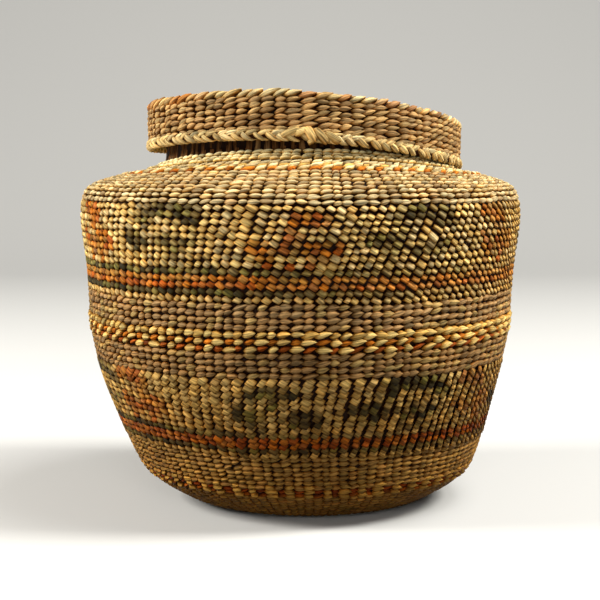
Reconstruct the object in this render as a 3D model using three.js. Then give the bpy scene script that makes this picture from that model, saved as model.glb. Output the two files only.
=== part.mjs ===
import * as THREE from 'three'

// Lidded twined basket in millimetres, +Z up.
// The origin is on the table, under the middle of the widest row.

// Wall outline: each station lies a run out and a rise up from the one before it
const flatRadius = 38
const easeRun = 6
const easeRise = 0.7
const turnRun = 6.2
const turnRise = 2.9
const footRun = 10.9
const footRise = 8.2
const flareRun = 9.3
const flareRise = 22.5
const bellyRun = 7.7
const bellyRise = 28
const waistRun = 1.7
const waistRise = 24.4
const widestRun = 2.1
const widestRise = 21.2
const cornerRun = -2.1
const cornerRise = 8.6
const shoulderRun = -10.9
const shoulderRise = 4.7
const neckFootRun = -14.3
const neckFootRise = 2.1
const neckFillet = 2.9
const neckFlare = 0.6

// Weaving: rows of weft in each band and their pitch up the wall
const startRows = 1
const startPitch = 9
const flatRows = 15
const flatPitch = 1.93
const turnRows = 12
const turnPitch = 2
const lowerCheckRows = 3
const lowerCheckPitch = 2.1
const lowerPlainRows = 6
const lowerPlainPitch = 1.87
const lowerStripeRows = 5
const lowerStripePitch = 1.9
const lowerFigureRows = 9
const lowerFigurePitch = 2.14
const bellyPlainRows = 4
const bellyPlainPitch = 2.3
const bellyCheckRows = 3
const bellyCheckPitch = 2.47
const waistPlainRows = 4
const waistPlainPitch = 2.25
const upperStripeRows = 5
const upperStripePitch = 2.2
const upperFigureRows = 9
const upperFigurePitch = 2.33
const shoulderPlainRows = 8
const shoulderPlainPitch = 2.25
const shoulderCheckRows = 3
const shoulderCheckPitch = 2.9
const neckFootRows = 3
const neckFootPitch = 2.1
const neckRows = 6
const neckPitch = 2.35
const neckRimRows = 1
const neckRimPitch = 2.4

// Lid
const lidHeight = 18.1
const lidClearance = 2.8
const lidCornerRadius = 5.2
const lidDish = 0.5
const lidStartPitch = 8
const lidPanelRows = 13
const lidPanelPitch = 2
const lidCheckRows = 2
const lidCheckPitch = 2.5
const lidBorderRows = 4
const lidBorderPitch = 2
const lidEdgePitch = 3.2
const lidWallRows = 6
const lidWallPitch = 1.95
const braidHeight = 4.6
const braidDepth = 3.8
const braidEndWidth = 7
const braidEndHeight = 5.4
const braidEndDepth = 1.5
const braidEndTurn = 2

// Walls and the gap between pieces that touch
const wallThickness = 3
const lidThickness = 2.6
const seatGap = 0.3

// Hand-made shape: the mouth tips and sags, and the neck and base sit a little off centre
const mouthTip = 3.35
const mouthSaddle = 3.35
const lidLean = 3
const neckOffset = new THREE.Vector2(1.6, -3)
const baseOffset = 3
const edgeShare = 0.06
const shareCurve = 1.5

// Fineness of the solids
const turnSteps = 40
const outlineStep = 5
const outlineSamples = 1600
const braidSectionSteps = 8
const braidEndSteps = 4

const grass = { roughness: 0.78, metalness: 0 }
const tanGrass = new THREE.MeshStandardMaterial({ color: '#b08a55', ...grass })
const strawGrass = new THREE.MeshStandardMaterial({ color: '#c9a873', ...grass })
const checkGrass = new THREE.MeshStandardMaterial({ color: '#c08a4a', ...grass })
const stripeGrass = new THREE.MeshStandardMaterial({ color: '#a5602c', ...grass })
const figureGrass = new THREE.MeshStandardMaterial({ color: '#8c7a4a', ...grass })
const darkGrass = new THREE.MeshStandardMaterial({ color: '#7d6038', ...grass })
const lidGrass = new THREE.MeshStandardMaterial({ color: '#a88658', ...grass })

// Stations from a start point and a list of run and rise steps
function stationsFrom(start, steps) {
  const stations = [start]
  for (const [run, rise] of steps) {
    const last = stations[stations.length - 1]
    stations.push(new THREE.Vector3(last.x + run, 0, last.z + rise))
  }
  return stations
}

const wallStations = stationsFrom(new THREE.Vector3(flatRadius, 0, 0), [
  [easeRun, easeRise],
  [turnRun, turnRise],
  [footRun, footRise],
  [flareRun, flareRise],
  [bellyRun, bellyRise],
  [waistRun, waistRise],
  [widestRun, widestRise],
  [cornerRun, cornerRise],
  [shoulderRun, shoulderRise],
  [neckFootRun, neckFootRise],
])
const widest = wallStations[7]
const neckFoot = wallStations[wallStations.length - 1]
const neckRadius = neckFoot.x - neckFillet
const neckTopRadius = neckRadius + neckFlare

// Share of the mouth's tip and sag that a point takes: none low on the body, all at the neck
const tipStart = widest.z - widestRise - waistRise / 2
function mouthShare(radius, height) {
  const inward = (widest.x - radius) / (widest.x - neckRadius)
  const near = edgeShare + (1 - edgeShare) * THREE.MathUtils.clamp(inward, 0, 1) ** shareCurve
  return near * THREE.MathUtils.smoothstep(height, tipStart, widest.z)
}

// Lid sizes that follow from the neck and the shoulder below it
const skirtRadius = neckTopRadius + lidClearance + lidThickness
const braidRadius = skirtRadius + (braidDepth - lidThickness) / 2
const braidMiddle = braidRadius - braidDepth / 2
const shoulderCurve = new THREE.CatmullRomCurve3(wallStations.slice(-4), false, 'centripetal')
const shoulderUnderLid = shoulderCurve.getPoints(outlineSamples).reduce((best, point) =>
  Math.abs(point.x - braidMiddle) < Math.abs(best.x - braidMiddle) ? point : best)
const skirtRest = lidLean * braidMiddle / neckRadius + 2 * seatGap
const skirtBottom = shoulderUnderLid.z + skirtRest
const lidTop = skirtBottom + lidHeight
const neckTop = lidTop - lidThickness - lidDish - seatGap

// The lid leans to one side, and the neck leans more and more with it up to the rim
function settle(geometry, onLid) {
  const positions = geometry.attributes.position
  for (let i = 0; i < positions.count; i++) {
    const x = positions.getX(i)
    const y = positions.getY(i)
    const z = positions.getZ(i)
    const share = onLid ? 1 : mouthShare(Math.hypot(x, y), z)
    const rimward = onLid ? 1 : THREE.MathUtils.smoothstep(z, neckFoot.z, neckTop)
    const side = x / neckRadius
    const depth = y / neckRadius
    const drop = mouthSaddle * depth ** 2 - mouthTip * depth - lidLean * rimward * side
    const downward = onLid ? 0 : 1 - THREE.MathUtils.smoothstep(z, 0, widest.z / 2)
    positions.setXYZ(i,
      x + neckOffset.x * share + baseOffset * downward,
      y + neckOffset.y * share,
      z + share * drop)
  }
  geometry.deleteAttribute('normal')
  geometry.deleteAttribute('uv')
  geometry.computeVertexNormals()
  return geometry
}

// An outline is walked by length: point and outward normal at a length along it
function makeOutline(stations) {
  const curve = new THREE.CatmullRomCurve3(stations, false, 'centripetal')
  curve.arcLengthDivisions = outlineSamples
  const length = curve.getLength()
  const at = (distance) => {
    const point = curve.getPointAt(THREE.MathUtils.clamp(distance / length, 0, 1))
    return new THREE.Vector2(Math.max(point.x, 0), Math.max(point.z, 0))
  }
  const normalAt = (distance) => {
    const reach = length / outlineSamples
    const along = at(distance + reach).sub(at(distance - reach)).normalize()
    return new THREE.Vector2(along.y, -along.x)
  }
  return { length, at, normalAt }
}

// One band of rows: a closed ring of wall between two lengths along the outline
function bandGeometry(outline, from, to, thickness) {
  const steps = Math.max(1, Math.round((to - from) / outlineStep))
  const outer = []
  const inner = []
  for (let i = 0; i <= steps; i++) {
    const distance = THREE.MathUtils.lerp(from, to, i / steps)
    const point = outline.at(distance)
    const normal = outline.normalAt(distance)
    const onAxis = point.x < seatGap
    outer.push(onAxis ? new THREE.Vector2(0, point.y) : point)
    const inward = point.clone().addScaledVector(normal, -thickness)
    inner.unshift(onAxis ? new THREE.Vector2(0, inward.y) : inward)
  }
  const startsOnAxis = outer[0].x === 0
  const endsOnAxis = inner[0].x === 0
  const closed = [...outer, ...inner, outer[0]]
  const profile = startsOnAxis ? [...outer, ...inner] : endsOnAxis ? [...inner, ...outer] : closed
  return new THREE.LatheGeometry(profile, turnSteps).rotateX(Math.PI / 2)
}

function bandMeshes(outline, bands, thickness, onLid) {
  const woven = bands.reduce((sum, band) => sum + band.rows * band.pitch, 0)
  const stretch = outline.length / woven
  let from = 0
  return bands.map((band, index) => {
    const to = from + band.rows * band.pitch * stretch
    const first = index === 0
    const last = index === bands.length - 1
    const low = first ? from : from + seatGap / 2
    const high = last ? to : to - seatGap / 2
    const geometry = bandGeometry(outline, low, high, thickness)
    const mesh = new THREE.Mesh(settle(geometry, onLid), band.material)
    mesh.name = band.name
    from = to
    return mesh
  })
}

function basketMeshes() {
  const outline = makeOutline([
    new THREE.Vector3(0, 0, 0),
    new THREE.Vector3(flatRadius - easeRun, 0, 0),
    ...wallStations,
    new THREE.Vector3(neckRadius, 0, neckFoot.z + neckFillet),
    new THREE.Vector3(neckTopRadius, 0, neckTop),
  ])
  const band = (name, rows, pitch, material) => ({ name, rows, pitch, material })
  return bandMeshes(outline, [
    band('base_start', startRows, startPitch, darkGrass),
    band('base_panel', flatRows, flatPitch, tanGrass),
    band('foot_turn_rows', turnRows, turnPitch, tanGrass),
    band('lower_check_rows', lowerCheckRows, lowerCheckPitch, checkGrass),
    band('lower_plain_rows', lowerPlainRows, lowerPlainPitch, tanGrass),
    band('lower_stripe_rows', lowerStripeRows, lowerStripePitch, stripeGrass),
    band('lower_figure_band', lowerFigureRows, lowerFigurePitch, figureGrass),
    band('belly_plain_rows', bellyPlainRows, bellyPlainPitch, tanGrass),
    band('belly_check_rows', bellyCheckRows, bellyCheckPitch, checkGrass),
    band('waist_plain_rows', waistPlainRows, waistPlainPitch, tanGrass),
    band('upper_stripe_rows', upperStripeRows, upperStripePitch, stripeGrass),
    band('upper_figure_band', upperFigureRows, upperFigurePitch, figureGrass),
    band('shoulder_plain_rows', shoulderPlainRows, shoulderPlainPitch, strawGrass),
    band('shoulder_check_rows', shoulderCheckRows, shoulderCheckPitch, checkGrass),
    band('neck_foot_rows', neckFootRows, neckFootPitch, strawGrass),
    band('neck_rows', neckRows, neckPitch, darkGrass),
    band('neck_rim', neckRimRows, neckRimPitch, darkGrass),
  ], wallThickness, false)
}

// The rim braid is a ring of oval section under the lid's wall
function braidMesh() {
  const section = []
  for (let i = 0; i <= braidSectionSteps; i++) {
    const turn = 2 * Math.PI * (i % braidSectionSteps) / braidSectionSteps
    section.push(new THREE.Vector2(
      braidMiddle + braidDepth / 2 * Math.cos(turn),
      skirtBottom + braidHeight / 2 + braidHeight / 2 * Math.sin(turn)))
  }
  const ring = new THREE.LatheGeometry(section, turnSteps).rotateX(Math.PI / 2)
  const mesh = new THREE.Mesh(settle(ring, true), lidGrass)
  mesh.name = 'lid_rim_braid'
  return mesh
}

// Where the braid's ends cross, a short pad lies bent against its outside
function braidEndMesh() {
  const pad = new THREE.BoxGeometry(
    braidEndWidth, braidEndDepth, braidEndHeight, braidEndSteps, 1, 1)
  const positions = pad.attributes.position
  const inside = braidRadius + seatGap
  for (let i = 0; i < positions.count; i++) {
    const turn = positions.getX(i) / braidRadius + THREE.MathUtils.degToRad(braidEndTurn)
    const radius = inside + braidEndDepth / 2 - positions.getY(i)
    const height = skirtBottom + braidHeight / 2 + positions.getZ(i)
    positions.setXYZ(i, radius * Math.sin(turn), -radius * Math.cos(turn), height)
  }
  const mesh = new THREE.Mesh(settle(pad, true), lidGrass)
  mesh.name = 'lid_braid_end'
  return mesh
}

function lidMeshes() {
  const skirtTop = lidTop - lidCornerRadius
  const cornerMid = lidCornerRadius * (1 - Math.SQRT1_2)
  const panelEdge = skirtRadius - lidCornerRadius
  const outline = makeOutline([
    new THREE.Vector3(skirtRadius, 0, skirtBottom + braidHeight + seatGap),
    new THREE.Vector3(skirtRadius, 0, skirtTop),
    new THREE.Vector3(skirtRadius - cornerMid, 0, lidTop - cornerMid),
    new THREE.Vector3(panelEdge, 0, lidTop),
    new THREE.Vector3(panelEdge / 2, 0, lidTop - lidDish),
    new THREE.Vector3(0, 0, lidTop - lidDish),
  ])
  const band = (name, rows, pitch, material) => ({ name, rows, pitch, material })
  return [
    ...bandMeshes(outline, [
      band('lid_wall', lidWallRows, lidWallPitch, lidGrass),
      band('lid_edge_row', 1, lidEdgePitch, checkGrass),
      band('lid_border_rows', lidBorderRows, lidBorderPitch, lidGrass),
      band('lid_check_rows', lidCheckRows, lidCheckPitch, checkGrass),
      band('lid_panel', lidPanelRows, lidPanelPitch, lidGrass),
      band('lid_start', 1, lidStartPitch, darkGrass),
    ], lidThickness, true),
    braidMesh(),
    braidEndMesh(),
  ]
}

const group = new THREE.Group()
const basket = new THREE.Group()
const lid = new THREE.Group()
basket.add(...basketMeshes())
lid.add(...lidMeshes())
group.add(basket, lid)

export default group
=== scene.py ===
import math
import bpy
import bmesh
import mathutils
import numpy as np
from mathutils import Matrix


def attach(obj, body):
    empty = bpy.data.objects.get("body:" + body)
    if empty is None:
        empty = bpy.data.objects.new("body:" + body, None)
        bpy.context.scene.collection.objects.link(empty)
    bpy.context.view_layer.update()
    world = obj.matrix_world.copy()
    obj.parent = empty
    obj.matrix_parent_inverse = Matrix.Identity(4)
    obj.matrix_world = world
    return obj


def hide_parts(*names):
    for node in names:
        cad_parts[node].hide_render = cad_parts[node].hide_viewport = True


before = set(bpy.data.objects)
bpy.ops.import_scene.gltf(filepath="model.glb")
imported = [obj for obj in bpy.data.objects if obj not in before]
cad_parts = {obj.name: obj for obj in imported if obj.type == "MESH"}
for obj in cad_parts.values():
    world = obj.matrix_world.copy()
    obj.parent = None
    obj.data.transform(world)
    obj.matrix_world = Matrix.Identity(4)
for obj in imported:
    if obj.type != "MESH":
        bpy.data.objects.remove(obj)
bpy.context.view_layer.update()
mm = 0.001
print("frame loaded:", len(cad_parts), "nodes")


def addObject(name, data):
    made = bpy.data.objects.new(name, data)
    bpy.context.scene.collection.objects.link(made)
    return made


def finishMesh(bm, name):
    mesh = bpy.data.meshes.new(name)
    bm.to_mesh(mesh)
    bm.free()
    return mesh


# The camera stands where the photograph was taken from, a little above the lid
camera = {"distance": 0.63, "height": 0.142, "lookDown": 6.18, "lens": 100.8}


def addCamera():
    data = bpy.data.cameras.new("camera")
    data.lens = camera["lens"]
    eye = addObject("camera", data)
    eye.location = (0, -camera["distance"], camera["height"])
    eye.rotation_euler = (math.radians(90 - camera["lookDown"]), 0, 0)
    bpy.context.scene.camera = eye


addCamera()

# Wall of the basket in millimetres: run out and rise up from station to station
wall = {
    "flatRadius": 38,
    "steps": [(6, 0.7), (6.2, 2.9), (10.9, 8.2), (9.3, 22.5), (7.7, 28), (1.7, 24.4), (2.1, 21.2),
              (-2.1, 8.6), (-10.9, 4.7), (-14.3, 2.1)],
    "widestStep": 7,
    "neckFillet": 2.9,
    "neckFlare": 0.6,
    "thickness": 3,
}
lid = {
    "height": 18.1,
    "clearance": 2.8,
    "cornerRadius": 5.2,
    "dish": 0.5,
    "thickness": 2.6,
    "braidHeight": 4.6,
    "braidDepth": 3.8,
    "seatGap": 0.3,
    "hang": 2.4,
    "sink": 0.8,
    "edgeRadius": 3.4,
    "weave": 2.1,
}
# How the hand-made mouth tips, sags and leans, and how far the neck and base sit off centre
handMade = {
    "mouthTip": 3.35,
    "mouthSaddle": 3.35,
    "lidLean": 3,
    "neckOffset": (1.6, -3),
    "baseOffset": 3,
    "edgeShare": 0.06,
    "shareCurve": 1.5,
}


def smoothStep(value, low, high):
    t = np.clip((value - low) / (high - low), 0, 1)
    return t * t * (3 - 2 * t)


class Outline:
    # A centripetal spline through the stations, walked by its length

    def __init__(self, stations, spanSteps=120):
        points = np.array(stations, float)
        ends = np.vstack([2 * points[0] - points[1], points, 2 * points[-1] - points[-2]])
        path = []
        for before, start, end, after in zip(ends, ends[1:], ends[2:], ends[3:]):
            reach = [max(np.linalg.norm(b - a) ** 0.5, 1e-6)  # never zero
                     for a, b in ((before, start), (start, end), (end, after))]
            leave = self.slope(before, start, end, *reach[:2]) * reach[1]
            arrive = self.slope(start, end, after, *reach[1:]) * reach[1]
            for t in np.linspace(0, 1, spanSteps, endpoint=False):
                path.append(start + leave * t + (3 * (end - start) - 2 * leave - arrive) * t * t
                            + (2 * (start - end) + leave + arrive) * t ** 3)
        path = np.maximum(np.array(path + [points[-1]]), 0)
        steps = np.linalg.norm(np.diff(path, axis=0), axis=1)
        self.along = np.concatenate([[0], np.cumsum(steps)])
        self.path = path
        self.length = self.along[-1]
        apart = self.along + np.arange(len(path)) * 1e-9  # no two the same
        tangent = np.gradient(path, apart, axis=0)
        tangent /= np.linalg.norm(tangent, axis=1)[:, None]
        self.normal = np.stack([tangent[:, 1], -tangent[:, 0]], axis=1)

    @staticmethod
    def slope(a, b, c, first, second):
        return (b - a) / first - (c - a) / (first + second) + (c - b) / second

    def radius(self, v):
        return np.interp(v, self.along, self.path[:, 0])

    def height(self, v):
        return np.interp(v, self.along, self.path[:, 1])

    def lift(self, v):
        facing = np.stack([np.interp(v, self.along, self.normal[:, i]) for i in (0, 1)], axis=-1)
        return facing / np.linalg.norm(facing, axis=-1, keepdims=True)


wallStations = [(wall["flatRadius"], 0)]
for run, rise in wall["steps"]:
    wallStations.append((wallStations[-1][0] + run, wallStations[-1][1] + rise))
widest = wallStations[wall["widestStep"]]
waist = wallStations[wall["widestStep"] - 2:wall["widestStep"]]
neckFoot = wallStations[-1]
neckRadius = neckFoot[0] - wall["neckFillet"]
neckTopRadius = neckRadius + wall["neckFlare"]
skirtRadius = neckTopRadius + lid["clearance"] + lid["thickness"]
braidMiddle = skirtRadius - lid["thickness"] / 2
shoulder = Outline(wallStations[-4:])
underBraid = shoulder.path[np.argmin(abs(shoulder.path[:, 0] - braidMiddle))]
skirtBottom = underBraid[1] + handMade["lidLean"] * braidMiddle / neckRadius + 2 * lid["seatGap"]
lidTop = skirtBottom + lid["height"]
neckTop = lidTop - lid["thickness"] - lid["dish"] - lid["seatGap"]
panelEdge = skirtRadius - lid["cornerRadius"]
cornerMid = lid["edgeRadius"] * (1 - math.sqrt(0.5))
wovenTop = lidTop - lid["sink"]

wallOutline = Outline([(0, 0), (wall["flatRadius"] - wall["steps"][0][0], 0), *wallStations,
                       (neckRadius, neckFoot[1] + wall["neckFillet"]), (neckTopRadius, neckTop)])
lidOutline = Outline([(skirtRadius, skirtBottom + lid["braidHeight"] - lid["hang"]),
                      (skirtRadius, wovenTop - lid["edgeRadius"]),
                      (skirtRadius - cornerMid, wovenTop - cornerMid),
                      (skirtRadius - lid["edgeRadius"], wovenTop),
                      (panelEdge / 2, wovenTop),
                      (0, wovenTop)])


def settle(x, y, z, onLid):
    tipStart = (waist[0][1] + waist[1][1]) / 2
    inward = np.clip((widest[0] - np.hypot(x, y)) / (widest[0] - neckRadius), 0, 1)
    near = handMade["edgeShare"] + (1 - handMade["edgeShare"]) * inward ** handMade["shareCurve"]
    share = 1.0 if onLid else near * smoothStep(z, tipStart, widest[1])
    rimward = 1.0 if onLid else smoothStep(z, neckFoot[1], neckTop)
    downward = 0.0 if onLid else 1 - smoothStep(z, 0, widest[1] / 2)
    side = x / neckRadius
    depth = y / neckRadius
    drop = handMade["mouthSaddle"] * depth ** 2 - handMade["mouthTip"] * depth
    drop = drop - handMade["lidLean"] * rimward * side
    offset = handMade["neckOffset"]
    return np.stack([x + offset[0] * share + handMade["baseOffset"] * downward,
                     y + offset[1] * share,
                     z + share * drop], axis=-1) * mm


def around(u, radius, height, onLid):
    # u turns from the front, towards the photograph's right
    return settle(radius * np.sin(u), -radius * np.cos(u), height, onLid)


class Surface:
    # What stitches are laid on. girth and rise are the millimetres in one unit of u and of v

    def girth(self, v):
        return 1

    def rise(self, v):
        return 1


class Wall(Surface):
    # The surface of the basket or the lid: v runs along the outline

    def __init__(self, outline, bands, thickness):
        self.outline = outline
        self.onLid = outline is lidOutline
        self.thickness = thickness
        stretch = outline.length / sum(rows * pitch for rows, pitch in bands.values())
        self.start = {}
        self.pitch = {}
        reached = 0
        for name, (rows, pitch) in bands.items():
            self.start[name] = reached
            self.pitch[name] = pitch * stretch
            reached += rows * pitch * stretch

    def place(self, u, v, h):
        lift = self.outline.lift(v)
        radius = np.maximum(self.outline.radius(v) + h * lift[..., 0], 0)
        height = self.outline.height(v) + h * lift[..., 1]
        if not self.onLid:
            height = np.maximum(height, 0)
        return around(u, radius, height, self.onLid)

    def girth(self, v):
        return np.maximum(self.outline.radius(v), 1)


class Ring(Surface):
    # A rolled edge: v turns round its section, from outwards over the top

    def __init__(self, radius, height, halfWidth, halfHeight, onLid):
        self.radius = radius
        self.height = height
        self.halfWidth = halfWidth
        self.halfHeight = halfHeight
        self.onLid = onLid

    def place(self, u, v, h):
        radius = self.radius + (self.halfWidth + h) * np.cos(v)
        height = self.height + (self.halfHeight + h) * np.sin(v)
        return around(u, radius, height, self.onLid)

    def girth(self, v):
        return self.radius + self.halfWidth * np.cos(v)

    def rise(self, v):
        return self.halfWidth


class Disc(Surface):
    # The middle of the base or of the lid, where u and v are plain lengths

    def __init__(self, height, facing, onLid):
        self.height = height
        self.facing = facing
        self.onLid = onLid

    def place(self, u, v, h):
        height = self.height + self.facing * h
        if not self.onLid:
            height = np.maximum(height, 0)
        return settle(u * self.facing, v, height, self.onLid)


# Rows of weft in each band and their pitch, from the middle of the base to the rim
wallBands = {
    "base_start": (1, 9), "base_panel": (15, 1.93), "foot_turn_rows": (12, 2),
    "lower_check_rows": (3, 2.1), "lower_plain_rows": (6, 1.87), "lower_stripe_rows": (5, 1.9),
    "lower_figure_band": (9, 2.14), "belly_plain_rows": (4, 2.3), "belly_check_rows": (3, 2.47),
    "waist_plain_rows": (4, 2.25), "upper_stripe_rows": (5, 2.2), "upper_figure_band": (9, 2.33),
    "shoulder_plain_rows": (8, 2.25), "shoulder_check_rows": (3, 2.9), "neck_foot_rows": (3, 2.1),
    "neck_rows": (6, 2.35), "neck_rim": (1, 2.4),
}
lidBands = {
    "lid_wall": (6, 1.98), "lid_edge_row": (1, 2.3), "lid_border_rows": (4, 2.35),
    "lid_check_rows": (2, 3), "lid_panel": (13, 2.4), "lid_start": (1, 9.8),
}
basketWall = Wall(wallOutline, wallBands, wall["thickness"])
lidWall = Wall(lidOutline, lidBands, lid["weave"])
print("outline: wall", round(wallOutline.length, 1), "mm, lid", round(lidOutline.length, 1), "mm")


def linear(colour):
    return [c / 12.92 if c <= 0.04045 else ((c + 0.055) / 1.055) ** 2.4 for c in colour]


# Colours of the dried grass, as they look in daylight. The one named shade is no grass colour but
# painted shade, the near-black of the gaps behind the stitches
grassColours = {
    "tan": (0.8, 0.66, 0.43), "olive": (0.77, 0.66, 0.4), "straw": (0.86, 0.77, 0.57),
    "pale": (0.84, 0.72, 0.47), "brown": (0.72, 0.56, 0.36), "cream": (0.92, 0.83, 0.61),
    # The near-white cream on the next line is cream with painted light, for rows in the lid's
    # shadow
    "paintedLitCream": (0.99, 0.92, 0.69), "gold": (0.86, 0.7, 0.38), "ochre": (0.74, 0.51, 0.2),
    "orange": (0.8, 0.48, 0.14), "rust": (0.7, 0.36, 0.11), "green": (0.48, 0.45, 0.22),
    "dark": (0.25, 0.22, 0.12), "warp": (0.4, 0.25, 0.11), "shade": (0.13, 0.055, 0.01),
    "honey": (0.94, 0.81, 0.5), "mauve": (0.64, 0.51, 0.35),
}
grass = {name: np.array(linear(colour)) for name, colour in grassColours.items()}

# Painted shade: crisp stitches are darkened towards their edges all round
crisp = {"spread": (0.55, 0.8), "paintedEdgeShade": (0.14, 0.2)}  # sharper edges, dimmed all round
# How a stitch of each kind lies. Its size is in columns and rows, slope is how steeply it climbs
# and end how far its ends are cut aslant. left and right are how blunt and how tapered its two
# ends are, and tip is their width. In millimetres: how thick it is, how far it stands proud of
# the wall and how deep its two ends tuck in
stitchKinds = {
    "plain": {
        "size": (1.25, 1.3), "slope": 0.15, "left": (2.0, 0.9), "right": (1.6, 1.0), "tip": 0.04,
        "thick": 1.5, "proud": 0.2, "tuck": (0.85, 0.3), "flat": 2.8},
    "lidRow": {
        "size": (1.26, 1.28), "slope": 0.2, "left": (2.4, 0.8), "right": (1.6, 1.0), "tip": 0.05,
        "thick": 1.5, "proud": 0.25, "tuck": (0.95, 0.2), "flat": 2.8},
    "edge": {
        "size": (1.54, 1.26), "slope": 0.4, "left": (2.2, 0.8), "right": (1.5, 0.9), "tip": 0.05,
        "thick": 1.6, "proud": 0.55, "tuck": (1.1, 0.35), "flat": 2.4},
    "bold": {
        "size": (1.26, 1.32), "slope": 0.14, "left": (2.4, 0.9), "right": (1.5, 0.9), "tip": 0.06,
        "thick": 1.8, "proud": 0.55, "tuck": (1.2, -0.1), "flat": 2.4, "end": 0.12},
    "tucked": {
        "size": (1.12, 0.98), "slope": 0.24, "left": (2.2, 0.8), "right": (1.4, 1.0), "tip": 0.03,
        "thick": 1.5, "proud": 0.15, "tuck": (1.0, 0.2)},
    "leaf": {
        "size": (1.24, 1.04), "slope": 0.16, "left": (2.4, 0.8), "right": (1.5, 0.9), "tip": 0.05,
        "thick": 1.6, "proud": 0.3, "tuck": (1.2, -0.15), "flat": 2.4},
    "broad": {
        "size": (1.14, 1.1), "slope": 0.06, "left": (2.6, 0.8), "right": (2.0, 0.9), "tip": 0.1,
        "thick": 1.5, "proud": 0.2, "tuck": (0.8, 0.35), "flat": 2.8, "tilt": 0.22},
    "wrapped": {
        "size": (0.72, 0.71), "slope": -0.54, "left": (12.0, 1.0), "tip": 0.9, "thick": 1.25,
        "proud": 0.25, "tuck": (0.55, 0.55), "flat": 7.0, "end": 1.05, "tilt": 0.42, "roll": 5.5,
        **crisp},
    "bead": {
        "size": (0.74, 0.74), "slope": -0.62, "left": (10.0, 1.0), "tip": 0.84, "thick": 1.25,
        "proud": 0.25, "tuck": (0.65, 0.65), "flat": 4.6, "end": 0.8, "tilt": 0.36, "roll": 4.6,
        **crisp},
    "stacked": {
        "size": (0.6, 1.22), "slope": -0.56, "left": (12.0, 1.0), "tip": 0.94, "thick": 1.1,
        "proud": 0.2, "tuck": (0.3, 0.3), "flat": 8.0, "end": 0.84, "tilt": 0.5, "roll": 6.0,
        **crisp},
    "plaitDown": {
        "slope": -0.5, "left": (2.6, 0.8), "right": (2.0, 0.9), "tip": 0.08, "thick": 1.4,
        "proud": 0.55, "tuck": (1.1, 0.2), "flat": 2.6},
    "plaitUp": {
        "slope": 0.36, "left": (2.6, 0.8), "right": (2.0, 0.9), "tip": 0.08, "thick": 1.4,
        "proud": 0.5, "tuck": (1.1, 0.35), "flat": 2.6},
    # The knot's sides get less painted shade than other stitches
    "knot": {
        "left": (7.0, 0.6), "tip": 0.66, "thick": 1.3, "tuck": (0.9, 0.9), "flat": 3.4,
        "sides": 0.7},
    "inner": {
        "size": (1.18, 1.12), "slope": -0.14, "left": (2.6, 0.9), "right": (2.2, 0.9), "tip": 0.12,
        "thick": 0.9, "proud": 0.15, "tuck": (0.5, 0.35)},
    "rib": {
        "size": (1.0, 1.02), "left": (8.0, 0.6), "tip": 0.6, "thick": 1.3, "proud": 0.2,
        "tuck": (0.15, 0.1), "stray": 0.5},
    "whip": {
        "size": (1.0, 1.1), "slope": 0.35, "left": (5.0, 0.6), "tip": 0.4, "thick": 0.8,
        "proud": 0.25, "tuck": (0.2, 0.2)},
    "plait": {
        "size": (1.5, 0.94), "left": (8.0, 0.6), "tip": 0.6, "thick": 0.7, "proud": 0.15,
        "tuck": (0.6, 0.6)},
}
# Unless a kind has its own: how flat its back is, how late its ends roll in, how much deeper its
# upper edge lies, how far its slope strays, how light the painted shade leaves its sides, how near
# its edges the mesh bends, and how much painted shade darkens its ends and sides
usualStitch = {"size": (1, 1), "slope": 0, "end": 0, "proud": 0, "flat": 2, "roll": 1.7,
               "rollFrom": 0.15, "tilt": 0, "stray": 1, "sides": 0.25, "spread": (0.28, 0.3),
               "paintedEdgeShade": (0, 0)}
# How unevenly the hand lays them, as shares of the size of a stitch
unevenness = {"place": 0.06, "size": 0.1, "slope": 0.1, "column": 0.16, "drift": 0.45,
              "rowWave": 0.4, "tuck": 0.15, "bright": 0.18, "warmth": 0.03, "blend": 0.45}
tuckShade = 0.7  # how dark an end is for each millimetre that it tucks in
grainRoom = 400  # stitches take their grain from somewhere in so many millimetres

# Painted shade: the wall is painted darker and browner towards the foot, fading out between these
# lengths up the wall
paintedFootShade = {"foot": (0.48, 0.34, 0.17), "from": (60, 155)}


def stitchMesh(along, across):
    # A pillow: a grid whose rim is closed underneath
    bm = bmesh.new()
    bmesh.ops.create_grid(bm, x_segments=along, y_segments=across, size=1)
    bmesh.ops.holes_fill(bm, edges=[e for e in bm.edges if e.is_boundary], sides=0)
    bmesh.ops.recalc_face_normals(bm, faces=bm.faces)
    for face in bm.faces:
        face.smooth = len(face.verts) == 4
    top = next(f for f in bm.faces if f.smooth)
    if top.normal.z < 0:
        bmesh.ops.reverse_faces(bm, faces=bm.faces)
    return finishMesh(bm, "stitch")


def meshPoints(mesh):
    points = np.empty(len(mesh.vertices) * 3)
    mesh.vertices.foreach_get("co", points)
    return points.reshape(-1, 3)


fineStitch = stitchMesh(6, 4)
plainStitch = stitchMesh(4, 2)


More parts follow.
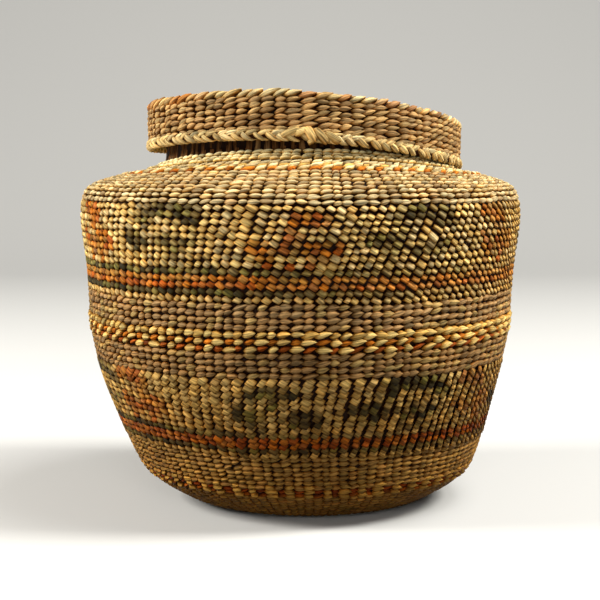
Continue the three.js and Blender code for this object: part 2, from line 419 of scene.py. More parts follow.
class Piece:
    # Gathers stitches and rings of one band and makes one object of them

    def __init__(self, seed):
        self.random = np.random.default_rng(seed)
        self.bm = bmesh.new()
        self.places = []
        self.tints = []
        self.grain = []

    def lay(self, surface, kind, u, v, length, height, tint, mesh=fineStitch, upright=False,
            inside=0, lower=0.0):
        # One stitch for each u. The others have one value for all, or one for each stitch
        shape = {**usualStitch, **stitchKinds[kind]}
        left, right = shape["left"], shape.get("right", shape["left"])
        count = len(u)
        u, v, length, height = [np.reshape(value, (-1, 1)) for value in (u, v, length, height)]
        grid = meshPoints(mesh)
        a, b = [grid[:, i] * (1 + spread * (1 - grid[:, i] ** 2))
                for i, spread in enumerate(shape["spread"])]

        def stray(share):
            return unevenness[share] * self.random.normal(size=(count, 1)).clip(-2, 2)

        halfLength = length * shape["size"][0] / 2 * (1 + stray("size"))
        halfHeight = height * shape["size"][1] / 2 * (1 + stray("size"))
        slope = shape["slope"] + shape["stray"] * stray("slope")
        blunt, taper = np.where(a < 0, np.reshape(left, (2, 1)), np.reshape(right, (2, 1)))
        width = shape["tip"] + (1 - shape["tip"]) * (1 - abs(a) ** blunt).clip(0, 1) ** taper
        across = b * halfHeight * width
        along = a * halfLength + shape["end"] * across
        across = across + slope * a * halfLength
        crown = (1 - abs(b) ** shape["flat"]).clip(0, 1) ** 0.5
        rolled = ((abs(a) - shape["rollFrom"]) / (1 - shape["rollFrom"])).clip(0, 1)
        tuck = np.where(a < 0, *shape["tuck"]) * rolled ** shape["roll"]
        thick = shape["thick"] * (1 + stray("size"))
        h = (shape["proud"] - lower + thick * (crown - 1) - tuck * (1 + stray("tuck"))
             - shape["tilt"] * b * width)
        if upright:
            along, across = -across, along
        if inside:
            along = -along
            h = -inside - h
        places = surface.place(u + along / surface.girth(v), v + across / surface.rise(v), h)
        self.places.append(places.reshape(-1, 3))
        bright = 1 + stray("bright")
        warmth = stray("warmth")
        # Painted shade: darker and browner towards the foot of the basket
        footShade = 1
        if surface is basketWall:
            footShade = 1 - (1 - np.array(paintedFootShade["foot"])) * (1 - smoothStep(v, *paintedFootShade["from"]))
        warmed = np.concatenate([1 + warmth, np.ones_like(warmth), 1 - warmth], axis=1)
        # Painted shade, kept in the alpha of the tint: dark on the sides and in the gaps, at the
        # tucked ends and towards the edges
        sides = shape["sides"]
        paintedShading = (sides + (1 - sides) * crown) * (1 - tuckShade * (1 - sides) * tuck)
        paintedShading = paintedShading * (1 - shape["paintedEdgeShade"][1] * b ** 2 - shape["paintedEdgeShade"][0] * a ** 2)
        tints = np.empty((count, len(a), 4))
        tints[:, :, :3] = (tint * bright * footShade * warmed)[:, None, :]
        tints[:, :, 3] = paintedShading
        self.tints.append(tints.reshape(-1, 4))
        offset = self.random.uniform(0, grainRoom, size=(count, 1, 2))
        strand = np.stack([a * halfLength, b * halfHeight * width], axis=-1) + offset
        self.grain.append(strand.reshape(-1, 2))
        for _ in range(count):
            self.bm.from_mesh(mesh)

    def ring(self, section, steps, slices, tint, paintedShading):
        # A closed ring: section gives the place and grain for turns and shares of the way round
        bm = bmesh.new()
        bmesh.ops.create_grid(bm, x_segments=steps, y_segments=slices, size=1)
        layer = bm.verts.layers.float_vector.new("grain")
        grid = np.array([vert.co for vert in bm.verts])
        places, grain = section((grid[:, 0] + 1) * math.pi, (grid[:, 1] + 1) / 2)
        for vert, place, (along, across) in zip(bm.verts, places, grain):
            vert.co = place
            vert[layer] = (along, across, 0)
        bm.normal_update()
        bmesh.ops.remove_doubles(bm, verts=bm.verts, dist=1e-6)  # closes the seams
        bmesh.ops.dissolve_degenerate(bm, dist=1e-7, edges=bm.edges)
        bmesh.ops.recalc_face_normals(bm, faces=bm.faces)
        for face in bm.faces:
            face.smooth = True
        self.grain.append(np.array([vert[layer][:2] for vert in bm.verts]))
        bm.verts.layers.float_vector.remove(layer)
        mesh = finishMesh(bm, "ring")
        self.bm.from_mesh(mesh)
        self.places.append(meshPoints(mesh))
        # The ring's painted shade goes in the alpha of its tint
        self.tints.append(np.tile([*tint, paintedShading], (len(mesh.vertices), 1)))
        bpy.data.meshes.remove(mesh)

    def finish(self, name, node, body, slot):
        mesh = finishMesh(self.bm, name)
        mesh.vertices.foreach_set("co", np.concatenate(self.places).ravel())
        tint = mesh.attributes.new("tint", "FLOAT_COLOR", "POINT")
        tint.data.foreach_set("color", np.concatenate(self.tints).ravel())
        corners = np.empty(len(mesh.loops), dtype=int)
        mesh.loops.foreach_get("vertex_index", corners)
        strand = mesh.uv_layers.new(name="strand")
        strand.uv.foreach_set("vector", np.concatenate(self.grain)[corners].ravel())
        mesh.materials.append(slotMaterials[slot])
        mesh.update()
        obj = addObject(name, mesh)
        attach(obj, body)
        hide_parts(node)
        print(name, len(mesh.polygons), "faces")


class Wire:
    # A shader socket that can be reckoned with

    def __init__(self, shader, socket):
        self.shader = shader
        self.socket = socket

    def reckon(self, operation, first, second):
        return self.shader.node("ShaderNodeMath", {"operation": operation}, {0: first, 1: second})

    def __add__(self, other):
        return self.reckon("ADD", self, other)

    def __sub__(self, other):
        return self.reckon("SUBTRACT", self, other)

    def __rsub__(self, other):
        return self.reckon("SUBTRACT", other, self)

    def __mul__(self, other):
        return self.reckon("MULTIPLY", self, other)

    __radd__ = __add__
    __rmul__ = __mul__


class Shader:
    def __init__(self, name, settings):
        self.material = bpy.data.materials.new(name)
        self.material.use_nodes = True
        self.tree = self.material.node_tree
        self.surface = self.tree.nodes["Principled BSDF"]
        for socket, value in settings.items():
            self.surface.inputs[socket].default_value = value

    def node(self, kind, settings=None, inputs=None, output=0):
        made = self.tree.nodes.new(kind)
        for key, value in (settings or {}).items():
            if key == "stops":
                ramp = made.color_ramp
                while len(ramp.elements) < len(value):
                    ramp.elements.new(0.5)
                for element, (position, colour) in zip(ramp.elements, value):
                    element.position = position
                    element.color = (*colour, 1)
            else:
                setattr(made, key, value)
        for key, value in (inputs or {}).items():
            self.feed(made.inputs[key], value)
        return Wire(self, made.outputs[output])

    def feed(self, socket, value):
        if isinstance(value, Wire):
            self.tree.links.new(value.socket, socket)
        else:
            socket.default_value = value

    def end(self, name, value):
        self.feed(self.surface.inputs[name], value)


def mixColours(shader, blend, factor, first, second):
    return shader.node("ShaderNodeMix", {"data_type": "RGBA", "blend_type": blend},
                       {"Factor": factor, 6: first, 7: second}, output=2)


def mapRange(shader, value, start, end):
    return shader.node("ShaderNodeMapRange", {}, {
        "Value": value, "From Min": start[0], "From Max": start[1],
        "To Min": end[0], "To Max": end[1]})


# Fibres run along the strand, and blotches over all. The less of a stitch is exposed, the darker
# its tint, down the stops to near black: painted shade in its gaps, on its sides and at its ends
grassLook = {
    "roughness": 0.6, "roughnessSwing": 0.32, "gloss": 0.07,
    "fibreScale": (0.12, 1.7, 1), "fibreDetail": 3, "fibreRoughness": 0.6,
    "fibreRange": (0.35, 0.65), "fibreShade": 0.55,
    "blotchScale": 55, "blotchDetail": 3, "blotchRange": (0.35, 0.7), "blotchShade": 0.2,
    "stops": [(0.15, (0.08, 0.014, 0.001)), (0.6, (0.6, 0.4, 0.16)), (0.95, (1, 1, 1))],
    "bump": 0.9, "fibreDepth": 0.28,
}


def grassMaterial(name, look):
    shader = Shader(name, {"Roughness": look["roughness"], "Specular IOR Level": look["gloss"]})
    tint, paintedShading = [shader.node("ShaderNodeAttribute", {"attribute_name": "tint"}, output=part)
                   for part in ("Color", "Alpha")]
    strand = shader.node("ShaderNodeUVMap", {"uv_map": "strand"})
    place = shader.node("ShaderNodeTexCoord", output="Object")
    length = shader.node("ShaderNodeMapping", {}, {"Vector": strand, "Scale": look["fibreScale"]})
    fibre = shader.node("ShaderNodeTexNoise", {"noise_dimensions": "2D"}, {
        "Vector": length, "Scale": 1, "Detail": look["fibreDetail"],
        "Roughness": look["fibreRoughness"]})
    blotch = shader.node("ShaderNodeTexNoise", {}, {
        "Vector": place, "Scale": look["blotchScale"], "Detail": look["blotchDetail"]})
    fibreLight = mapRange(shader, fibre, look["fibreRange"],
                          (1 - look["fibreShade"], 1 + look["fibreShade"]))
    blotchLight = mapRange(shader, blotch, look["blotchRange"], (1, 1 - look["blotchShade"]))
    light = fibreLight * blotchLight
    grey = shader.node("ShaderNodeCombineColor", {}, {"Red": light, "Green": light, "Blue": light})
    # Painted shade: the stops darken the tint where little of a stitch is exposed
    deep = shader.node("ShaderNodeValToRGB", {"stops": look["stops"]}, {"Fac": paintedShading},
                       output="Color")
    fibred = mixColours(shader, "MULTIPLY", 1, tint, grey)
    shader.end("Base Color", mixColours(shader, "MULTIPLY", 1, fibred, deep))
    shader.end("Roughness", look["roughness"] + look["roughnessSwing"] * (fibre - 0.5))
    shader.end("Normal", shader.node("ShaderNodeBump", {}, {
        "Strength": look["bump"], "Distance": look["fibreDepth"] * mm, "Height": fibre}))
    return shader.material


slotMaterials = {slot: grassMaterial(slot, grassLook) for slot in
                 ("tan_grass", "straw_grass", "figure_grass", "stripe_grass", "check_grass",
                  "lid_grass", "braid_grass", "warp_grass")}

# Waves in which warps and rows wander: share, waves round the basket, radians for each
# millimetre up the wall, and where they start
warpWaves = [(0.5, 2, 1 / 31, 1), (0.3, 5, -1 / 17, 0), (0.2, 9, 1 / 12, 2)]
rowWaves = [(0.5, 2, 0.01, 0.6), (0.35, 5, 0.05, 2.1), (0.3, 11, -0.12, 4)]
leaning = {"middle": 0.65, "swing": 0.4}  # more on the photograph's right


def waves(shares, u, v):
    return sum(share * np.sin(count * u + climb * v + phase)
               for share, count, climb, phase in shares)


def columnPlaces(columns):
    # Where the warps stand, in columns: bands with as many warps share them
    draw = np.random.default_rng(columns)
    return np.arange(columns) + unevenness["column"] * draw.normal(size=columns).clip(-2, 2)


def columnDrift(u, v, lean):
    # How far the warps wander to the side on their way up, in columns
    swing = leaning["middle"] + leaning["swing"] * np.sin(u)
    return unevenness["drift"] * waves(warpWaves, u, v) + lean * swing


innerLeast = 2  # millimetres: no stitches inside a smaller ring
# The warps between the two faces of the weft, as one ribbed shell: how far in its two faces
# lie in millimetres, how high its ribs are, and how much painted shade darkens it. Its near-black
# shade colour is painted shade for the gaps between the stitches
shell = {"outer": 1.15, "lowerShare": 1 / 3, "inner": 0.55, "rib": 0.2, "ribSteps": 3,
         "rowsAtOnce": 3, "paintedShading": 0.8}
grainTurn = 50  # millimetres of grain for each radian round the basket


def weaveBand(piece, surface, name, kinds, columns, tints, lean, lower):
    # kinds, columns and tints are asked for each row, counted from the start of the band
    rows = (wallBands if surface is basketWall else lidBands)[name][0]
    pitch = surface.pitch[name]
    start = surface.start[name]
    lean, leanFrom = lean or (0, name)
    for row in range(rows):
        count = columns(row)
        step = math.tau / count
        at = columnPlaces(count)
        up = start + row * pitch
        at = at + columnDrift(at * step, up, lean * (up - surface.start[leanFrom]))
        u = at * step
        middle = start + (row + 0.5) * pitch
        v = middle + unevenness["rowWave"] * waves(rowWaves, u, up) * pitch / 2
        after = (np.roll(at, -1) - at) % count
        before = (at - np.roll(at, 1)) % count
        space = (after + before) / 2 * step * surface.girth(v)
        turned = u + (after - before) / 4 * step
        turned = turned + piece.random.normal(size=count) * step * unevenness["place"]
        raised = v + piece.random.normal(size=count) * pitch * unevenness["place"]
        colours = tints(row, u, count)
        for kind, chosen in kinds(row, u):
            piece.lay(surface, kind, turned[chosen], raised[chosen], space[chosen], pitch,
                      colours[chosen], lower=lower)
        inner = surface.outline.radius(middle) - surface.thickness
        if inner > innerLeast:
            piece.lay(surface, "inner", u, v, space * inner / (inner + surface.thickness), pitch,
                      grass["tan"], mesh=plainStitch, inside=surface.thickness)
    backWall(piece, surface, start, start + rows * pitch, columns(0), rows, lower)


def backWall(piece, surface, start, end, columns, rows, lower=0.0):
    lengths = max(1, rows // shell["rowsAtOnce"])
    sides = 2 * lengths + 2

    def section(u, t):
        corner = np.round(t * sides).astype(int) % sides
        outer = corner <= lengths
        share = np.where(outer, corner, 2 * lengths + 1 - corner) / lengths
        v = start + (end - start) * share
        rib = shell["rib"] * np.cos(u * columns)
        h = np.where(outer, rib - shell["outer"] - lower * shell["lowerShare"],
                     shell["inner"] - surface.thickness - rib)
        return surface.place(u % math.tau, v, h), np.stack([v, u * grainTurn], axis=-1)

    # Painted shade: the shell takes the near-black shade colour
    piece.ring(section, columns * shell["ribSteps"], sides, grass["shade"], shell["paintedShading"])


def rowTints(*names):
    # A row's name may be two colours that take turns
    def tints(row, u, count):
        pair = names[row].split("/")
        return np.array([grass[pair[i % len(pair)]] for i in range(count)])
    return tints


def mixedTint(piece, mix):
    palette = np.array([grass[name] for name in mix])
    shares = np.array(list(mix.values()))
    middle = shares @ palette

    def tints(row, u, count):
        picks = palette[piece.random.choice(len(mix), size=count, p=shares)]
        return picks + unevenness["blend"] * (middle - picks)
    return tints


def pickTints(piece, mix, count):
    return mixedTint(piece, mix)(0, None, count)


# Water birds side by side, one mark for each stitch: x is dyed, o is half faded
birdPoses = ("resting", "rising", "bowing", "turning")
birdChart = [
    ".......... ...oxxxxxo .......... .xxxxo....",
    ".....xxxx. ..oxxxxxxx ...oxxo... .xxxxx....",
    ".....xxxo. ..oxo..oxx ...xxxxo.. ...oxx....",
    "....o..... ...o.....o ...oxo.... ...oxo....",
    "....xo.... oxxo..o... .xo.x..... .xo.xxxx..",
    "xxo.xoxxxx xxxxooxoxo .xxo..xxo. .xxoxxxxo.",
    "xxxoxoxxxx .oxo.xoxo. .xxo.oxxx. .xxxxxxx..",
    ".xx.x.xo.. ..o..o.o.. ..xo..xxx. ..xo.xo...",
    "..x.x.x... .....o.o.. ...o...... ..x..x....",
]
# Where they stand round the two wide bands, in degrees from the front, their colour and fading
upperBirds = [
    (-62, "turning", "orange", 0), (-37, "rising", "dark", 0.1), (-2, "resting", "orange", 0),
    (28, "rising", "dark", 0.15), (60, "turning", "orange", 0.15), (90, "resting", "dark", 0.3),
    (120, "rising", "orange", 0.3), (150, "turning", "dark", 0.3), (180, "resting", "orange", 0.2),
    (210, "rising", "dark", 0.3), (240, "turning", "orange", 0.3), (268, "resting", "dark", 0.3),
]
lowerBirds = [
    (-48, "turning", "orange", 0.2), (-7, "bowing", "dark", 0.05), (28, "rising", "dark", 0),
    (59, "turning", "orange", 0.35), (85, "resting", "dark", 0.1),
    (115, "rising", "dark", 0.2), (142, "turning", "orange", 0.2), (170, "resting", "dark", 0.1),
    (198, "rising", "dark", 0.1), (226, "turning", "orange", 0.2), (254, "resting", "dark", 0.2),
    (284, "rising", "dark", 0.1),
]
dyes = {"orange": [grass["orange"], grass["ochre"], grass["rust"]],
        "dark": [grass["dark"], grass["dark"], grass["green"]]}
birdFading = {"x": 0, "o": 0.4, "random": (-0.1, 0.15)}


def birdTints(piece, birds, field):
    ground = mixedTint(piece, dict.fromkeys(field, 1 / len(field)))

    def tints(row, u, count):
        colours = ground(row, u, count)
        for middle, pose, colour, fading in birds:
            marks = birdChart[-1 - row].split()[birdPoses.index(pose)]
            turned = (u - math.radians(middle) + math.pi) % math.tau - math.pi
            column = np.round(turned / math.tau * count + len(marks) / 2 - 0.5).astype(int)
            for i in np.nonzero((column >= 0) & (column < len(marks)))[0]:
                mark = marks[column[i]]
                if mark != ".":
                    faded = fading + birdFading[mark]
                    faded += piece.random.uniform(*birdFading["random"])
                    dye = dyes[colour][piece.random.choice(len(dyes[colour]))]
                    colours[i] = dye + (colours[i] - dye) * min(max(faded, 0), 1)
        return colours
    return tints


def stripeTints(piece, field, stripes, scatter=0.2, lobes=1):
    # Dyed rows that fade in and out round the basket: each has its dye, fading, swing and side
    ground = mixedTint(piece, dict.fromkeys(field, 1 / len(field)))

    def tints(row, u, count):
        colours = ground(row, u, count)
        names, fading, swing, side = stripes[row]
        if not names:
            return colours
        faded = (fading - swing * np.cos(lobes * (u - math.radians(side)))
                 + piece.random.uniform(-scatter, scatter, size=count))
        dye = np.array([grass[name] for name in piece.random.choice(names, size=count)])
        return dye + (colours - dye) * faded.clip(0, 1)[:, None]
    return tints


def checkKind(raised, under):
    # Every other stitch lies deeper, in the rows that name which
    def kinds(row, u):
        deep = np.arange(len(u)) % 2 == under[row]
        return [(raised, ~deep), ("tucked", deep)]
    return kinds


def changingKind(first, second, phase, rowShift=0.1):
    # The hand changes its stitch half way round, a little further on in each row
    def kinds(row, u):
        turned = np.sin(u + phase + rowShift * row) > 0
        return [(first, turned), (second, ~turned)]
    return kinds


def wayOfWeaving(kind):
    if isinstance(kind, str):
        return lambda row, u: [(kind, np.full(len(u), True))]
    return checkKind(*kind) if len(kind) == 2 else changingKind(*kind)


def bandTints(piece, weave):
    if "mix" in weave:
        return mixedTint(piece, weave["mix"])
    if "rows" in weave:
        return rowTints(*weave["rows"])
    if "stripes" in weave:
        return stripeTints(piece, *weave["stripes"])
    return birdTints(piece, *weave["birds"])


def columnCounts(surface, name, columns):
    # As many warps in every row or, towards the middle, the most that keep a spacing
    if isinstance(columns, int):
        return lambda row: columns
    spacing, counts = columns

    def most(row):
        v = surface.start[name] + (row + 0.5) * surface.pitch[name]
        room = math.tau * surface.girth(v) / spacing
        return max([n for n in counts if n <= room] or [min(counts)])
    return most


def weaveBands(surface, body, weaves, seed):
    for number, (node, weave) in enumerate(weaves.items(), seed):
        piece = Piece(number)
        weaveBand(piece, surface, node, wayOfWeaving(weave["kind"]),
                  columnCounts(surface, node, weave["columns"]), bandTints(piece, weave),
                  weave.get("lean"), weave["lower"])
        name = node
        for ending in ("_rows", "_row", "_band"):
            name = name.removesuffix(ending)
        piece.finish(name + "_stitches", node, body, weave["slot"])


# Basket wall, from the base up: the warps in a row, the kind of stitch, how much lower it lies in
# millimetres, its colours, and the columns that the warps lean over in each millimetre, with
# the band where that starts
lowerWrap = {"columns": 118, "kind": ("stacked", "bead", 0.26), "lower": 0.2,
             "lean": (0.06, "lower_stripe_rows")}
upperWrap = {"columns": 148, "kind": ("wrapped", "bead", 0.3), "lower": 0.45,
             "lean": (0.15, "upper_stripe_rows")}
wallWeave = {
    "foot_turn_rows": {
        "columns": 112, "kind": "plain", "lower": 0.7, "slot": "tan_grass",
        "mix": {"tan": 0.4, "olive": 0.4, "brown": 0.2}},
    "lower_check_rows": {
        "columns": 116, "kind": ("bold", [1, 1, None]), "lower": 0.5, "slot": "check_grass",
        "rows": ("honey/orange", "honey/rust", "honey/tan")},
    "lower_plain_rows": {
        "columns": 118, "kind": "plain", "lower": 0.3, "slot": "tan_grass",
        "mix": {"tan": 0.4, "olive": 0.4, "pale": 0.2}},
    "lower_stripe_rows": {
        **lowerWrap, "slot": "stripe_grass",
        "stripes": (["pale", "olive"], [
            (None, 0, 0, 0), (["dark", "green"], 0.4, 0.3, -40),
            (["orange", "rust"], 0.15, 0.1, 0), (["orange", "rust"], 0.2, 0.15, 0),
            (["dark", "green"], 0.85, 0.85, -70)])},
    "lower_figure_band": {
        **lowerWrap, "slot": "figure_grass",
        "birds": (lowerBirds, ["pale", "honey", "gold"])},
    "belly_plain_rows": {
        "columns": 126, "kind": "plain", "lower": 0.25, "slot": "tan_grass",
        "mix": {"mauve": 0.4, "olive": 0.3, "brown": 0.3}},
    "belly_check_rows": {
        "columns": 126, "kind": ("bold", [1, 0, None]), "lower": 0.15, "slot": "check_grass",
        "rows": ("honey/rust", "orange/honey", "honey/gold")},
    "waist_plain_rows": {
        "columns": 130, "kind": "plain", "lower": 0.35, "slot": "tan_grass",
        "mix": {"olive": 0.2, "brown": 0.4, "mauve": 0.4}},
    "upper_stripe_rows": {
        **upperWrap, "slot": "stripe_grass",
        "stripes": (["tan", "pale", "gold"], [
            (None, 0, 0, 0), (["dark", "dark", "dark", "green"], 0.68, 0.7, -48),
            (["rust", "orange"], 0.3, 0.2, -40), (["orange", "orange", "ochre"], 0.3, 0.15, -40),
            (["green", "green", "dark"], 0.6, 0.55, -55)])},
    "upper_figure_band": {
        **upperWrap, "slot": "figure_grass",
        "birds": (upperBirds, ["straw", "honey", "gold"])},
    "shoulder_plain_rows": {
        "columns": 126, "kind": "broad", "lower": 0.45, "slot": "straw_grass",
        "mix": {"straw": 0.6, "pale": 0.2, "mauve": 0.2}},
    "shoulder_check_rows": {
        "columns": 112, "kind": ("leaf", [1, 0, None]), "lower": 0.1, "slot": "check_grass",
        "rows": ("cream/orange", "gold/cream", "straw/cream")},
    # Painted light: these rows lie in the lid's shadow and are tinted near white
    "neck_foot_rows": {
        "columns": 104, "kind": "broad", "lower": -0.85, "slot": "straw_grass",
        "mix": {"paintedLitCream": 0.85, "cream": 0.15}},
}
weaveBands(basketWall, "basket", wallWeave, 100)

# The flat of the base, where warps are added row by row: their spacing, and how many there may be
baseWeave = {
    "base_panel": {
        "columns": (2.1, [24, 32, 40, 48, 60, 72, 84, 96, 112]), "kind": "plain", "lower": 0.35,
        "slot": "tan_grass", "mix": {"tan": 0.5, "brown": 0.3, "olive": 0.2}},
}
weaveBands(basketWall, "basket", baseWeave, 120)

# The middle of the base and of the lid, where strips go over and under each other: how many
# there may be to each side, how far in they end, how low they lie, and the ribs behind them
plaited = {"strips": 6, "inset": 1 / 8, "lower": 0.2, "ribs": 24,
           "mix": {"brown": 0.4, "tan": 0.4, "warp": 0.2}}


def plaitedStart(seed, surface, disc, node, body, cell):
    piece = Piece(seed)
    start, pitch = surface.start[node], surface.pitch[node]
    strips = range(-plaited["strips"], plaited["strips"] + 1)
    spots = [(i, j) for i in strips for j in strips
             if math.hypot(i, j) * cell < pitch - cell * plaited["inset"]]
    for side in (0, surface.thickness):
        for upright in (False, True):
            at = np.array([s for s in spots if (s[0] + s[1]) % 2 == upright]) * cell
            piece.lay(disc, "plait", at[:, 0], at[:, 1], cell, cell,
                      pickTints(piece, plaited["mix"], len(at)),
                      mesh=plainStitch if side else fineStitch, upright=upright, inside=side,
                      lower=plaited["lower"])
    backWall(piece, surface, start, start + pitch, plaited["ribs"], 1)
    piece.finish(node + "_plait", node, body, "warp_grass")


plaitedStart(121, basketWall, Disc(0, -1, False), "base_start", "basket", 2.1)

# The neck: bare warps outside, plain rows inside
neckLook = {"ribs": 92, "ribLength": 1.04, "lower": 0.4, "mix": {"warp": 0.75, "brown": 0.25}}


def addNeck():
    neck = Piece(122)
    count = neckLook["ribs"]
    rows = wallBands["neck_rows"][0]
    start, pitch = basketWall.start["neck_rows"], basketWall.pitch["neck_rows"]
    ribs = columnPlaces(count) * math.tau / count
    gap = math.tau / count * neckTopRadius
    neck.lay(basketWall, "rib", ribs, start + rows * pitch / 2,
             rows * pitch * neckLook["ribLength"], gap, pickTints(neck, neckLook["mix"], count),
             upright=True, lower=neckLook["lower"])
    for row in range(rows):
        neck.lay(basketWall, "inner", ribs, start + (row + 0.5) * pitch, gap, pitch,
                 grass["tan"], mesh=plainStitch, inside=wall["thickness"])
    backWall(neck, basketWall, start, start + rows * pitch + basketWall.pitch["neck_rim"] / 2,
             count, rows)
    neck.finish("neck_warps", "neck_rows", "basket", "warp_grass")


addNeck()

# How far under the stitches of a rolled edge its core lies, and its grain for each radian
core = {"under": 0.2, "grain": 2}


def addCore(piece, ring, look, tint):
    # A plain core, in so many steps round the basket and round its section, darkened with painted
    # shade as it lies under the strands
    def section(u, t):
        turn = math.tau * (t % 1)
        return (ring.place(u % math.tau, turn, -core["under"]),
                np.stack([u * grainTurn, turn * core["grain"]], axis=-1))
    piece.ring(section, *look["core"], tint, look["paintedShading"])


# The rim of the neck, whipped over with one strand: where its turns start and how far they
# reach round the section, in half turns
rimLook = {"whips": 120, "from": (0.05, 0.62), "reach": 0.62, "overlap": 1.25, "lower": 0.1,
           # The core is darkened with painted shade
           "inset": 0.25, "core": (120, 10), "paintedShading": 0.6,
           "mix": {"tan": 0.5, "brown": 0.3, "pale": 0.2}}


def addRim():
    rim = Piece(123)
    count = rimLook["whips"]
    pitch = basketWall.pitch["neck_rim"]
    half = wall["thickness"] / 2
    ring = Ring(neckTopRadius - half, neckTop - pitch / 2, half - rimLook["inset"],
                pitch / 2 - rimLook["inset"], False)
    whips = np.arange(count) * math.tau / count
    reach = math.pi * rimLook["reach"]
    for start in rimLook["from"]:
        rim.lay(ring, "whip", whips, math.pi * start + reach / 2,
                reach * ring.halfWidth * rimLook["overlap"], math.tau / count * neckTopRadius,
                pickTints(rim, rimLook["mix"], count), upright=True, lower=rimLook["lower"])
    addCore(rim, ring, rimLook, grass["brown"])
    rim.finish("neck_rim_whipping", "neck_rim", "basket", "warp_grass")


addRim()
print("basket woven")

# Lid rows, from the braid up over the edge to the middle: columns as for the base
lidCounts = [16, 24, 32, 40, 48, 56, 64, 72, 82, 96]
lidWeave = {
    "lid_wall": {
        "columns": (4.2, lidCounts), "kind": "lidRow", "lower": 0.1, "slot": "lid_grass",
        "mix": {"brown": 0.4, "tan": 0.45, "mauve": 0.15}},
    "lid_edge_row": {
        "columns": (3.9, lidCounts), "kind": "edge", "lower": -0.2, "slot": "check_grass",
        "stripes": (["straw", "cream", "pale"], [(["orange", "rust", "ochre"], 0.8, 0.4, 28)],
                    0.5, 4)},
    "lid_border_rows": {
        "columns": (3.9, lidCounts), "kind": "lidRow", "lower": 0.7, "slot": "lid_grass",
        "mix": {"brown": 0.4, "tan": 0.4, "pale": 0.2}},
    "lid_check_rows": {
        "columns": (3.6, lidCounts), "kind": ("bold", [1, 0]), "lower": 0.4,
        "slot": "check_grass", "rows": ("cream/orange", "orange/cream")},
    "lid_panel": {
        "columns": (2.6, lidCounts), "kind": "plain", "lower": 0.4, "slot": "lid_grass",
        "mix": {"tan": 0.5, "pale": 0.3, "brown": 0.2}},
}
weaveBands(lidWall, "lid", lidWeave, 140)
plaitedStart(150, lidWall, Disc(wovenTop, 1, True), "lid_start", "lid", 2.0)

# The braid round the foot of the lid: what shows of its three strands is a leaf from the
# middle up to its edge, then one from the middle down to its edge, outside and inside alike
braid = {"leaves": 90, "halfSize": (1.25, 1.65), "lower": 1.05, "out": 0.55, "length": 6.4,
         # The core is dark with painted shade, under the strands
         "width": 3, "turned": 0.68, "core": (160, 8), "paintedShading": 0.3,
         "mix": {"pale": 0.6, "straw": 0.2, "cream": 0.2}}
braidRing = Ring(braidMiddle + braid["out"],
                 skirtBottom + lid["braidHeight"] / 2 - braid["lower"], *braid["halfSize"], True)


def addBraid():
    piece = Piece(160)
    turned = braid["turned"]
    for kind, shift, angle in (("plaitDown", 0, -turned), ("plaitUp", 0.5, turned),
                               ("plaitUp", 0, math.pi - turned),
                               ("plaitDown", 0.5, math.pi + turned)):
        leaves = (columnPlaces(braid["leaves"]) + shift) * (math.tau / braid["leaves"])
        piece.lay(braidRing, kind, leaves, angle, braid["length"], braid["width"],
                  pickTints(piece, braid["mix"], len(leaves)))
    addCore(piece, braidRing, braid, grass["warp"])
    piece.finish("lid_rim_strands", "lid_rim_braid", "lid", "braid_grass")


addBraid()

# Where the braid's two ends cross, in front, and are bound over each other. For each strand:
# turn in degrees, height over the braid's middle, length, width, slope in degrees, how far out
knotStrands = [
    (-4.8, 0.9, 5.6, 2.5, 18, 0.3), (-1.2, 1.3, 5.2, 2.6, 16, 0.35),
    (2, 0.4, 6.2, 3.7, -52, 1), (5.5, 0.2, 6.4, 3.7, -46, 0.85),
    (9.4, 0.1, 5.8, 3, -36, 0.5), (2.4, -1.6, 3.4, 1.5, 32, 0.4),
]


class BraidFace(Surface):
    # The outside of the braid, turned to the slope of one strand

    def __init__(self, turn, height, slope):
        self.turn = math.radians(turn)
        self.height = height
        self.slope = math.radians(slope)

    def place(self, u, v, h):
        radius = braidRing.radius + lid["braidDepth"] / 2 + h
        aside = u * math.cos(self.slope) - v * math.sin(self.slope)
        up = u * math.sin(self.slope) + v * math.cos(self.slope)
        return around(self.turn + aside / braidRing.radius, radius,
                      braidRing.height + self.height + up, True)


crossing = Piece(161)
for turn, height, length, width, slope, out in knotStrands:
    crossing.lay(BraidFace(turn, height, slope), "knot", [0], 0, length, width, grass["pale"],
                 lower=-out)
crossing.finish("lid_braid_crossing", "lid_braid_end", "lid", "braid_grass")
print("lid woven")

# A plain pale floor that sweeps up behind. It throws back less light than the camera sees
floorLook = {"colour": (0.84, 0.84, 0.83), "bounce": (0.3, 0.3, 0.3), "roughness": 0.95,
             "gloss": 0.1, "width": 6, "near": 3, "far": 0.9, "rise": 2.5, "sweep": 0.7,
             "sweepSteps": 16}


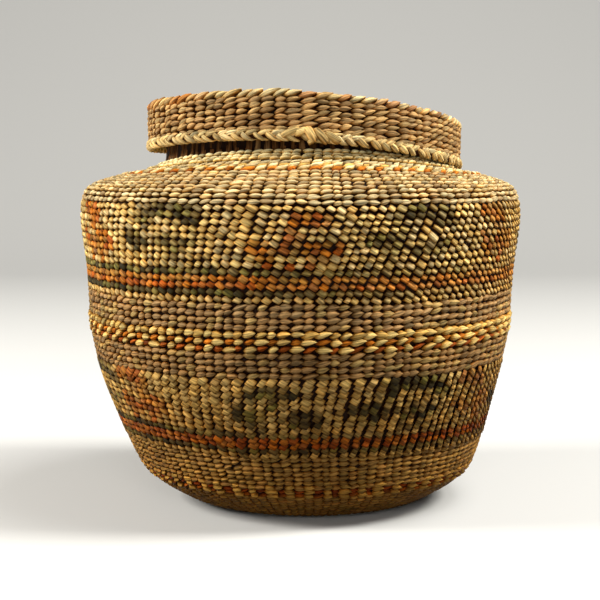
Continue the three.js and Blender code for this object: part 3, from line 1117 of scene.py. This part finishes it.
def addFloor(look):
    bm = bmesh.new()
    start = [bm.verts.new((x, -look["near"], 0)) for x in (-look["width"] / 2, look["width"] / 2)]
    edges = [bm.edges.new(start)]
    bend = [(look["sweep"] * math.sin(a), look["sweep"] * (1 - math.cos(a)))
            for a in np.linspace(0, math.pi / 2, look["sweepSteps"] + 1)]
    run = [(0, look["near"] + look["far"], 0)]
    run += [(0, b[0] - a[0], b[1] - a[1]) for a, b in zip(bend, bend[1:])]
    run.append((0, 0, look["rise"]))
    for move in run:
        grown = bmesh.ops.extrude_edge_only(bm, edges=edges)["geom"]
        bmesh.ops.translate(bm, verts=[g for g in grown if isinstance(g, bmesh.types.BMVert)],
                            vec=move)
        edges = [g for g in grown if isinstance(g, bmesh.types.BMEdge)]
    for face in bm.faces:
        face.smooth = True
    mesh = finishMesh(bm, "floor")
    paper = Shader("paper", {"Roughness": look["roughness"], "Specular IOR Level": look["gloss"]})
    rays = [paper.node("ShaderNodeLightPath", output=kind)
            for kind in ("Is Camera Ray", "Is Glossy Ray", "Is Transmission Ray")]
    bounce, colour = [(*linear(look[key]), 1) for key in ("bounce", "colour")]
    seen = rays[0] + rays[1] + rays[2]
    paper.end("Base Color", mixColours(paper, "MIX", seen, bounce, colour))
    mesh.materials.append(paper.material)
    floor = addObject("floor", mesh)


lamps = {
    "left": {"place": (-1.1, -0.18, 0.7), "size": 0.5, "power": 22, "colour": (1, 0.97, 0.92)},
    "right": {"place": (0.96, -0.13, 0.98), "size": 0.4, "power": 20, "colour": (1, 0.98, 0.93)},
    "top": {"place": (0.5, -0.1, 1.25), "size": 0.5, "power": 8, "colour": (1, 0.98, 0.96)},
    "front": {"place": (0.05, -1.0, 0.35), "size": 0.4, "power": 3.2, "colour": (1, 0.97, 0.93)},
}
lampAim = (0, 0, 0.07)
skyStrength = 0.07


def addLamps():
    for name, lamp in lamps.items():
        data = bpy.data.lights.new(name, "AREA")
        data.size = lamp["size"]
        data.energy = lamp["power"]
        data.color = lamp["colour"]
        obj = addObject(name, data)
        obj.location = lamp["place"]
        aim = mathutils.Vector(lampAim) - obj.location
        obj.rotation_euler = aim.to_track_quat("-Z", "Y").to_euler()
    world = bpy.data.worlds.new("studio")
    world.use_nodes = True
    sky = world.node_tree.nodes["Background"]
    sky.inputs["Color"].default_value = (1, 1, 1, 1)
    sky.inputs["Strength"].default_value = skyStrength
    bpy.context.scene.world = world


addFloor(floorLook)
addLamps()
bpy.context.scene.view_settings.view_transform = "Standard"
print("floor and lamps set")
